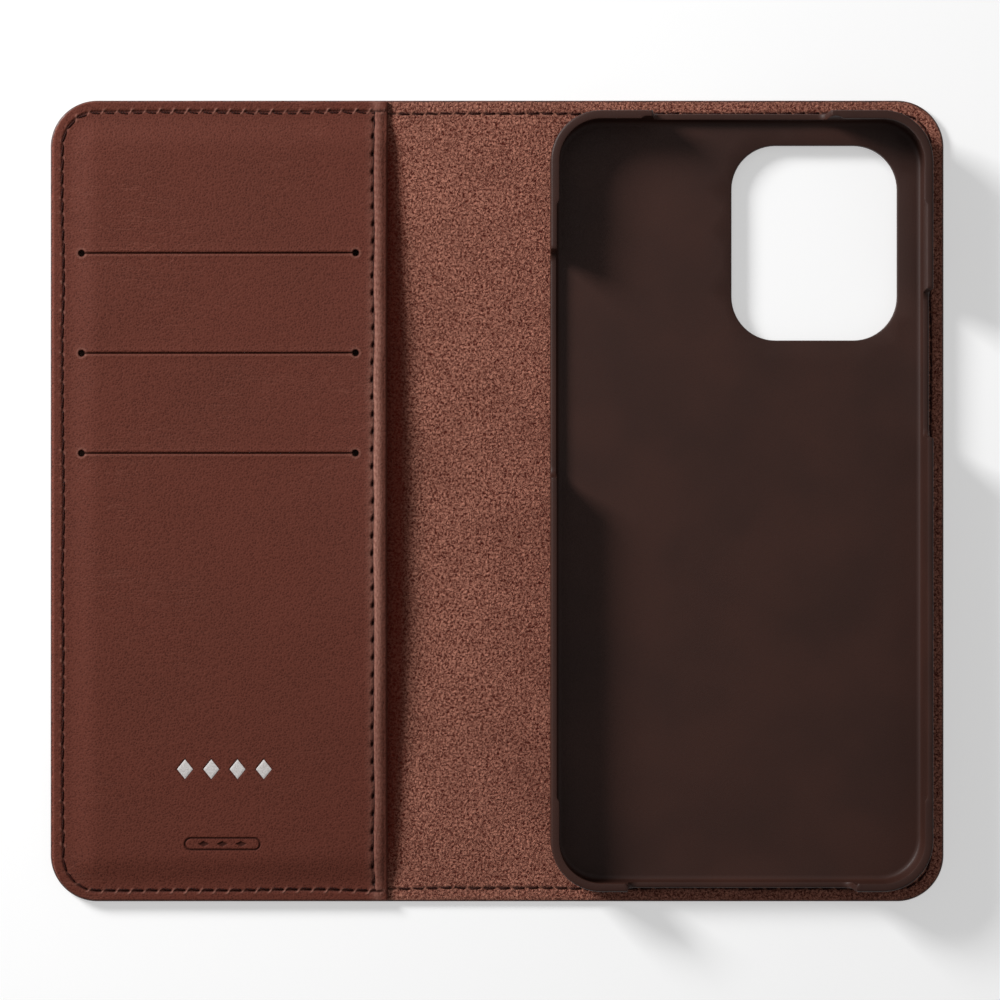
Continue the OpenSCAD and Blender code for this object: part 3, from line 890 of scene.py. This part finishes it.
class Nodes:
    """A material's node tree, with short calls for the nodes that this script needs."""

    def __init__(self, name):
        self.material = bpy.data.materials.new(name)
        self.material.use_nodes = True
        self.tree = self.material.node_tree
        self.shader = self.tree.nodes["Principled BSDF"]

    def new(self, kind, **values):
        node = self.tree.nodes.new(kind)
        for key, value in values.items():
            setattr(node, key, value)
        return node

    def join(self, source, target):
        self.tree.links.new(source, target)

    def give(self, socket, value):
        """Links a socket, or sets a constant."""
        if isinstance(value, bpy.types.NodeSocket):
            self.join(value, socket)
        else:
            socket.default_value = value

    def place(self, scale=(1, 1, 1), turn=0.0):
        """Each point's flat place, in mm, scaled."""
        flat = self.new("ShaderNodeAttribute", attribute_name="flat_mm")
        mapping = self.new("ShaderNodeMapping")
        self.join(flat.outputs["Vector"], mapping.inputs["Vector"])
        mapping.inputs["Scale"].default_value = scale
        mapping.inputs["Rotation"].default_value = (0, 0, turn)
        return mapping.outputs["Vector"]

    def number(self, name):
        return self.new("ShaderNodeAttribute", attribute_name=name).outputs["Fac"]

    def noise(self, vector, scale, detail=2.0, roughness=0.5, distortion=0.0):
        node = self.new("ShaderNodeTexNoise")
        self.join(vector, node.inputs["Vector"])
        for key, value in (("Scale", scale), ("Detail", detail), ("Roughness", roughness),
                           ("Distortion", distortion)):
            node.inputs[key].default_value = value
        return node.outputs["Fac"]

    def cells(self, vector, scale, smoothness=0.4, randomness=1.0):
        node = self.new("ShaderNodeTexVoronoi", feature="SMOOTH_F1")
        self.join(vector, node.inputs["Vector"])
        node.inputs["Scale"].default_value = scale
        node.inputs["Smoothness"].default_value = smoothness
        node.inputs["Randomness"].default_value = randomness
        return node.outputs["Distance"]

    def spot(self, vector, x, y, length, width):
        """0.8 inside a small oval at a flat place, fading to 0 at its rim."""
        mapping = self.new("ShaderNodeMapping")
        self.join(vector, mapping.inputs["Vector"])
        mapping.inputs["Scale"].default_value = (1 / length, 1 / width, 0)
        mapping.inputs["Location"].default_value = (-x / length, -y / width, 0)
        size = self.new("ShaderNodeVectorMath", operation="LENGTH")
        self.join(mapping.outputs["Vector"], size.inputs[0])
        return self.fade(size.outputs["Value"], 0.2, 1.0, 0.8, 0.0)

    def math(self, operation, a, b=0.0, c=0.0, clamp=False):
        node = self.new("ShaderNodeMath", operation=operation, use_clamp=clamp)
        for socket, value in zip(node.inputs, (a, b, c)):
            self.give(socket, value)
        return node.outputs["Value"]

    def fade(self, value, low, high, to_low=0.0, to_high=1.0):
        """Value from low to high, turned smoothly into to_low to to_high."""
        node = self.new("ShaderNodeMapRange", interpolation_type="SMOOTHSTEP")
        self.give(node.inputs["Value"], value)
        for key, x in (("From Min", low), ("From Max", high), ("To Min", to_low), ("To Max", to_high)):
            node.inputs[key].default_value = x
        return node.outputs["Result"]

    def sum(self, a, part_a, b, part_b):
        """The two values, each times its part, added up."""
        return self.math("ADD", self.math("MULTIPLY", a, part_a), self.math("MULTIPLY", b, part_b))

    def mix(self, amount, a, b):
        node = self.new("ShaderNodeMix", data_type="RGBA")
        self.give(node.inputs["Factor"], amount)
        self.give(node.inputs[6], a)
        self.give(node.inputs[7], b)
        return node.outputs[2]

    def bump(self, height, distance, strength=1.0, normal=None):
        """distance is the height of 1, in mm."""
        node = self.new("ShaderNodeBump")
        node.inputs["Strength"].default_value = strength
        node.inputs["Distance"].default_value = distance * MM
        self.join(height, node.inputs["Height"])
        if normal:
            self.join(normal, node.inputs["Normal"])
        return node.outputs["Normal"]

    def finish(self, colour, roughness, normal=None, **constants):
        self.give(self.shader.inputs["Base Color"], colour)
        self.give(self.shader.inputs["Roughness"], roughness)
        if normal:
            self.join(normal, self.shader.inputs["Normal"])
        for key, value in constants.items():
            self.shader.inputs[key.replace("_", " ")].default_value = value
        return self.material


def panel_material():
    """Smooth leather with a fine pebbled grain and faint creases across it."""
    n = Nodes("panel_leather")
    at = n.place()
    grain = n.cells(at, 2.3, 0.5)
    fine = n.noise(at, 2.7, 3.0, 0.65)
    clouds = n.noise(at, 0.045, 3.0, 0.55)
    crease = n.noise(n.place((0.05, 0.4, 1), 0.05), 1.0, 3.0, 0.6, 1.6)
    lines = n.fade(n.math("ABSOLUTE", n.math("SUBTRACT", crease, 0.5)), 0.0, 0.03, 1.0, 0.0)
    where = n.fade(n.noise(at, 0.03, 2.0), 0.45, 0.7)
    lines = n.math("MULTIPLY", lines, where)
    colour = n.mix(n.fade(clouds, 0.3, 0.7), srgb(72, 31, 22), srgb(79, 34, 25))
    colour = n.mix(n.fade(fine, 0.38, 0.62, 0.0, 0.55), colour, srgb(54, 21, 14))
    colour = n.mix(n.fade(grain, 0.05, 0.5, 0.0, 0.42), colour, srgb(123, 67, 53))
    colour = n.mix(n.math("MULTIPLY", lines, 0.14), colour, srgb(140, 88, 74))
    # Painted highlight (light) and painted shade (dark) from the points.
    colour = n.mix(n.number("light"), colour, srgb(158, 112, 98))
    colour = n.mix(n.number("dark"), colour, srgb(36, 11, 6))
    height = n.sum(grain, 0.7, fine, 0.6)
    height = n.math("SUBTRACT", height, n.math("MULTIPLY", lines, 0.35))
    rough = n.fade(n.math("ADD", fine, n.math("MULTIPLY", clouds, 0.5)), 0.4, 1.1, 0.6, 0.75)
    return n.finish(colour, rough, n.bump(height, 0.1), Specular_IOR_Level=0.12)


def suede_material():
    """The flesh side of the leather: short matted fibres in two tones."""
    n = Nodes("suede")
    at = n.place()
    fibre = n.noise(at, 2.1, 3.0, 0.62, 0.7)
    fine = n.noise(at, 3.9, 2.0, 0.6, 0.5)
    clouds = n.noise(at, 0.07, 2.0)
    tuft = n.sum(fibre, 0.75, fine, 0.3)
    colour = n.mix(n.fade(tuft, 0.39, 0.66), srgb(78, 17, 6), srgb(200, 135, 114))
    colour = n.mix(n.fade(clouds, 0.3, 0.75, 0.0, 0.25), colour, srgb(96, 50, 38))
    # Painted shadow beside the hem (deep), painted highlight (light) and painted shade (dark).
    colour = n.mix(n.number("deep"), colour, srgb(126, 31, 12))
    colour = n.mix(n.number("light"), colour, srgb(150, 100, 82))
    colour = n.mix(n.number("dark"), colour, srgb(32, 10, 6))
    rough = n.fade(tuft, 0.3, 0.7, 0.85, 1.0)
    return n.finish(colour, rough, n.bump(tuft, 0.9), Specular_IOR_Level=0.08, Sheen_Weight=0.08,
                    Sheen_Roughness=0.5)


SCARS = ((-51.2, 12.7, 1.5), (-47.5, -49.4, 1.1))  # place and half length, on the front cover


def grain_material():
    """The grain side: dark oiled leather that pulls up lighter and redder where it bends."""
    n = Nodes("grain_leather")
    at = n.place()
    grain = n.cells(at, 2.4, 0.45)
    fine = n.noise(at, 2.9, 3.0, 0.68)
    clouds = n.noise(at, 0.05, 4.0, 0.6, 0.5)
    small = n.noise(at, 0.35, 3.0, 0.6)
    patchy = n.math("MULTIPLY", n.math("SUBTRACT", small, 0.5), 0.25)
    pull = n.math("ADD", n.number("pull"), patchy, clamp=True)
    dark = n.mix(n.fade(clouds, 0.3, 0.72), srgb(70, 31, 22), srgb(84, 38, 28))
    colour = n.mix(n.fade(pull, 0.06, 1.0), dark, srgb(118, 58, 46))
    colour = n.mix(n.fade(fine, 0.38, 0.62, 0.0, 0.5), colour, srgb(47, 18, 12))
    colour = n.mix(n.fade(grain, 0.05, 0.5, 0.0, 0.34), colour, srgb(124, 69, 53))
    for x, y, length in SCARS:
        colour = n.mix(n.spot(at, x, y, length, 0.34), colour, srgb(158, 74, 56))
    colour = n.mix(n.number("stain"), colour, srgb(158, 76, 54))
    # Painted shade in the awl holes.
    colour = n.mix(n.number("dark"), colour, srgb(16, 8, 6))
    height = n.sum(grain, 0.7, fine, 0.6)
    rough = n.fade(n.math("ADD", clouds, n.math("MULTIPLY", fine, 0.5)), 0.4, 1.1, 0.5, 0.66)
    return n.finish(colour, rough, n.bump(height, 0.1), Specular_IOR_Level=0.18)


def edge_material():
    """A burnished cut edge, with the leather's layers just visible."""
    n = Nodes("burnished_edge")
    layers = n.noise(n.place((0.6, 0.6, 6)), 1.0, 3.0, 0.6)
    colour = n.mix(n.fade(layers, 0.35, 0.7), srgb(54, 24, 17), srgb(98, 52, 39))
    rough = n.fade(layers, 0.3, 0.7, 0.38, 0.55)
    return n.finish(colour, rough, n.bump(layers, 0.06), Specular_IOR_Level=0.5)


def thread_material(name, dark, light):
    """Waxed thread: its plies run slantwise round it."""
    n = Nodes(name)
    ply = n.new("ShaderNodeTexWave", wave_type="BANDS", bands_direction="DIAGONAL")
    n.join(n.place((1, 1, 1)), ply.inputs["Vector"])
    ply.inputs["Scale"].default_value = 1.1
    ply.inputs["Distortion"].default_value = 1.5
    fluff = n.noise(n.place(), 6.0, 2.0)
    colour = n.mix(ply.outputs["Fac"], srgb(*dark), srgb(*light))
    rough = n.fade(fluff, 0.3, 0.7, 0.5, 0.8)
    return n.finish(colour, rough, n.bump(ply.outputs["Fac"], 0.06), Specular_IOR_Level=0.15)


def cloth_material():
    """Plain-woven lining."""
    n = Nodes("pocket_cloth")
    heights = []
    for direction in ("X", "Y"):
        wave = n.new("ShaderNodeTexWave", wave_type="BANDS", bands_direction=direction)
        n.join(n.place(), wave.inputs["Vector"])
        wave.inputs["Scale"].default_value = 0.9
        wave.inputs["Distortion"].default_value = 0.4
        heights.append(wave.outputs["Fac"])
    weave = n.math("MULTIPLY", *heights)
    colour = n.mix(weave, srgb(58, 34, 26), srgb(104, 70, 55))
    return n.finish(colour, n.fade(weave, 0.0, 1.0, 0.8, 0.95), n.bump(weave, 0.08), Sheen_Weight=0.1)


def foil_material():
    """Hot-stamped foil: pale silver, pressed into the leather's grain."""
    n = Nodes("foil")
    at = n.place()
    grain = n.noise(at, 3.0, 3.0, 0.6)
    colour = n.mix(n.fade(grain, 0.35, 0.75), srgb(224, 220, 218), srgb(192, 185, 182))
    return n.finish(colour, n.fade(grain, 0.3, 0.7, 0.32, 0.5), n.bump(grain, 0.03), Metallic=0.15,
                    Specular_IOR_Level=0.6)


def tray_material():
    """Moulded plastic with a fine spark-eroded texture."""
    n = Nodes("tray_plastic")
    at = n.place()
    spark = n.noise(at, 4.0, 3.0, 0.7)
    clouds = n.noise(at, 0.05, 2.0)
    colour = n.mix(n.fade(clouds, 0.3, 0.7), srgb(52, 28, 21), srgb(60, 33, 25))
    colour = n.mix(n.fade(spark, 0.4, 0.7, 0.0, 0.2), colour, srgb(32, 17, 13))
    return n.finish(colour, n.fade(spark, 0.3, 0.7, 0.44, 0.6), n.bump(spark, 0.03), Specular_IOR_Level=0.3)


def pad_material():
    n = Nodes("microsuede")
    nap = n.noise(n.place(), 3.0, 3.0, 0.6, 0.5)
    colour = n.mix(n.fade(nap, 0.3, 0.7), srgb(52, 34, 28), srgb(80, 54, 45))
    return n.finish(colour, n.fade(nap, 0.3, 0.7, 0.85, 1.0), n.bump(nap, 0.1), Sheen_Weight=0.3)


# ---------- what is painted on the leather's points ----------


def cover_plane(x, y):
    """The cover's plane again, for points of the row frame."""
    return np.abs(x) - FOLD_X, y


def inside_painted_highlight(x, y, z):
    """Painted highlight: lighter where the leather puckers up between two stitches and along the rim just in
    from its edge, where these catch the light.
    """
    s, t = edge_place(*cover_plane(x, y))
    along, d = pucker_place(s, t)
    beside = bell(along, 0.32) * (bell(d + 0.4, 0.2) + 0.7 * bell(d - 0.42, 0.18))
    bridge = bell(along, 0.2) * bell(d, 0.3) * gap_width(s)
    rim = 0.3 * bell(t - 0.4, 0.25)
    return np.clip(0.6 * beside * waves(s, 0 * s, 6, 3) + 0.6 * bridge + rim, 0, 1) * (z > LEATHER_T - 0.7)


def inside_painted_shade(x, y, z):
    """Painted shade: darker along the seam's groove, between the puckers."""
    s, t = edge_place(*cover_plane(x, y))
    along, d = pucker_place(s, t)
    gap = bell(along, 0.24) * gap_width(s)
    return np.clip(0.85 * bell(d, 0.22) * (1 - gap), 0, 1)


# Painted shade in the awl holes of the grain face.
def outside_painted_shade(x, y):
    return np.clip(2.2 * awl_hole(*edge_place(*cover_plane(x, y))), 0, 1)


# Painted shade: in the seam's groove on the inside face, in the awl holes on the grain face.
def leather_painted_shade(x, y, z):
    return np.where(z > LEATHER_T * 0.6, inside_painted_shade(x, y, z), outside_painted_shade(x, y))


def painted_hem_shadow(x, y, z):
    """Painted shadow: the flesh side is painted darker and redder beside the panel's hem, widest in the
    middle, where the raised hem casts its shadow.
    """
    from_hem = x + FOLD_X + HEM_X
    middle = np.cos(np.clip(y / HALF_H, -1, 1) * PI / 2)
    return 0.7 * smooth(4 * middle) * (1 - smooth((from_hem - 2.6 * middle) / 2.6))


def pull_up(x, y, z):
    """How much the grain side has lightened: most on the spine, fading over the covers."""
    u, v = cover_plane(x, y)
    edge = HALF_H - np.abs(v)
    return np.exp(-(np.maximum(u + 1.5, 0) / 13) ** 1.4) * (0.85 + 0.15 * smooth(edge / 12))


def stain(x, y, z):
    """Orange-brown dye marks beside the awl holes."""
    u, v = cover_plane(x, y)
    s, t = edge_place(u, v)
    beside = bell(off_hole(hole_number(s)) - 0.35, 0.4) * bell(t - SEAM + 0.6, 0.3)
    return 0.75 * beside * waves(s, 0 * s, 14, 77) * (z < LEATHER_T * 0.6)


def panel_painted_highlight(x, y, z):
    """Painted highlight: lighter on the hem's roll, on the lips beside the cuts and round the stop holes, and
    where the edge seam puckers.
    """
    y = y - reach(y)
    u, v = cover_plane(x, y)
    w = hem_place(u, v)[0]
    middle = 0.45 + 0.55 * np.cos(np.clip(v / HALF_H, -1, 1) * PI / 2) ** 2
    roll = 0.7 * middle * bell(w - 0.6, 1.2) * (0.5 + waves(2 * u, v, 1.0, 15))
    lips = 0
    for slot_y in SLOT_Y:
        line_off, stop_off = slot_distance(u, v, slot_y)
        lips = lips + 0.25 * bell(stop_off - 0.95, 0.2) + 0.12 * bell(line_off - 0.4, 0.2) * (v < slot_y)
    return np.clip(inside_painted_highlight(x, y, 9 + 0 * z) + roll + lips, 0, 1)


def panel_painted_shade(x, y, z):
    """Painted shade: darker in the holes, the cuts, the pressed marks and down the hem's fold."""
    y = y - reach(y)
    u, v = cover_plane(x, y)
    w, n = hem_place(u, v)
    along = (n - np.round(n)) * HEM_STEP
    inside = np.abs(v) < HEM_END + 0.4
    holes = 1.5 * bell(along - 0.5 * w, 0.6) * bell(w + 0.14, 0.26) + 0.6 * bell(w - 0.04, 0.15)
    marks = 0.75 * cartouche_depth(u, v)
    for u0 in foil_places():
        depth = lozenge_depth(u, v, u0, FOIL_Y, *LOZENGE)
        marks = np.maximum(marks, 0.6 * bell(depth + 0.06, 0.12))
    for slot_y in SLOT_Y:
        line_off, stop_off = slot_distance(u, v, slot_y)
        marks = np.maximum(marks, 0.45 * bell(np.maximum(line_off - 0.08, 0), 0.12))
        marks = np.maximum(marks, 0.7 * bell(np.maximum(stop_off - STOP_R, 0), 0.12))
    fold = 0.12 * smooth((w - 1.9) / 1.2) * (np.abs(v) < HALF_H - 3.5)
    return np.clip(inside_painted_shade(x, y, z) + holes * inside + marks + fold, 0, 1)


# ---------- camera, lights and floor ----------


VIEW_AT = 650  # at this distance from the camera, in mm,
VIEW_W = 205.8  # the view is this wide


def new_object(name, data):
    obj = bpy.data.objects.new(name, data)
    bpy.context.scene.collection.objects.link(obj)
    return obj


def camera():
    """Straight above the case."""
    data = bpy.data.cameras.new("camera")
    data.sensor_width = 36
    data.lens = data.sensor_width * VIEW_AT / VIEW_W
    obj = new_object("camera", data)
    obj.location = (0.0006, 0.0002, 0.652)
    bpy.context.scene.camera = obj


def area_light(name, location, size, power, colour=(1, 1, 1)):
    data = bpy.data.lights.new(name, "AREA")
    data.shape = "SQUARE"
    data.size = size
    data.energy = power
    data.color = colour
    obj = new_object(name, data)
    obj.location = location
    obj.rotation_euler = (-Vector(location)).to_track_quat("-Z", "Y").to_euler()


def studio():
    """A soft key from the upper left, a weak fill from the right, and an even sky."""
    area_light("key", (-0.63, 0.46, 0.43), 0.26, 10.2)
    area_light("fill", (0.7, -0.2, 0.8), 0.8, 0.5)
    area_light("overhead", (0.0, 0.3, 1.2), 0.9, 1.0)
    world = bpy.data.worlds.new("studio")
    bpy.context.scene.world = world
    world.use_nodes = True
    world.node_tree.nodes["Background"].inputs["Color"].default_value = (1, 1, 1, 1)
    world.node_tree.nodes["Background"].inputs["Strength"].default_value = 0.15
    bpy.context.scene.view_settings.view_transform = "Standard"
    bpy.context.scene.view_settings.look = "None"


def floor():
    """A plain pale floor, which shines a little so that it stays white beside the shadows."""
    mesh = bpy.data.meshes.new("floor")
    mesh.from_pydata([(-4, -4, 0), (4, -4, 0), (4, 4, 0), (-4, 4, 0)], [], [(0, 1, 2, 3)])
    n = Nodes("floor")
    n.shader.inputs["Emission Color"].default_value = (1, 1, 1, 1)
    white = n.finish((0.62, 0.62, 0.62, 1), 0.9, Specular_IOR_Level=0.1, Emission_Strength=0.45)
    mesh.materials.append(white)
    obj = new_object("floor", mesh)
    obj.location = (0, 0, -0.00002)


# ---------- everything in place ----------

camera()
studio()
floor()

LEATHER_MATERIALS = [grain_material(), suede_material(), edge_material()]
# The inside thread is the same thread as the outside one, painted darker as shade for the groove that it
# sinks into.
THREAD_MATERIALS = [thread_material("thread_inside", (26, 8, 5), (58, 18, 11)),
                    thread_material("thread_outside", (62, 40, 29), (130, 96, 74))]


def finish_leather(obj, a, b, start, end, *nodes):
    """Paints a piece of the outer leather and hides the frame's parts that it stands for; a and b are not
    used.
    """
    # light, dark and deep are painted highlight, painted shade and the painted shadow beside the hem.
    for name, function in (("light", inside_painted_highlight), ("dark", leather_painted_shade), ("deep", painted_hem_shadow),
                           ("pull", pull_up), ("stain", stain)):
        paint(obj, name, function)
    bend(obj, "outer_leather", a, b, start, end, *nodes)


def bend(obj, slot, a, b, start, end, *nodes):
    """A piece that crosses a fold: hides the frame's parts that it stands for and bakes its place into its
    points. start and end are not used.
    """
    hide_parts(*nodes)
    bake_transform(obj)


def carry(obj, slot, body, *nodes):
    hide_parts(*nodes)
    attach(obj, body)
    return obj


opening = (CAMERA[0] - FOLD_X, CAMERA[1], CAMERA[2] + 2, CAMERA[3] + 2, CAMERA[4] + 1)
finish_leather(leather_cover("outer_leather_front", -1), "spine_front", "front_cover", -6, -12,
               "front_cover_leather")
finish_leather(spine_half("outer_leather_spine_front", -1), "spine_middle", "spine_front", 0, -6,
               "spine_leather_front")
finish_leather(spine_half("outer_leather_spine_back", 1), "spine_middle", "spine_back", 0, 6,
               "spine_leather_back", "spine_leather_middle")
finish_leather(leather_cover("outer_leather_back", 1, opening), "spine_back", "back_cover", 6, 12,
               "back_cover_leather")

panel = carry(card_panel(), "panel_leather", "front_cover", "card_panel")
# Painted highlight and painted shade on the panel.
paint(panel, "light", panel_painted_highlight)
paint(panel, "dark", panel_painted_shade)
carry(foil_ornament(), "foil", "front_cover", "foil_ornament")
carry(hem_thread(), "thread", "front_cover", "hem_stitching")

for layer, which in enumerate(("upper", "middle", "lower")):
    cloth = pocket("pocket_cloth_" + which, layer)
    carry(cloth, "pocket_cloth", "front_cover", "card_pocket_" + which)


def front_level(u):
    """Height of the front cover's inside face at the edge seam, or None at the hem's step."""
    if abs(u - HEM_X) < 1.2:
        return None
    return LEATHER_T if u < HEM_X else PANEL_LOW


bend(cover_thread("edge_thread_front", -1, front_level), "thread", "spine_front", "front_cover", -6, -12,
     "front_edge_stitching")
bend(spine_thread("edge_thread_spine_front", -1), "thread", "spine_middle", "spine_front", 0, -6,
     "spine_stitching_front")
bend(spine_thread("edge_thread_spine_back", 1), "thread", "spine_middle", "spine_back", 0, 6,
     "spine_stitching_back", "spine_stitching_middle")
bend(cover_thread("edge_thread_back", 1, lambda u: LEATHER_T), "thread", "spine_back", "back_cover", 6, 12,
     "back_edge_stitching")

carry(phone_tray(), "tray_shell", "back_cover", "phone_tray")
pad = carry(mounting_pad(), "mounting_pad", "back_cover", "tray_mounting_pad")
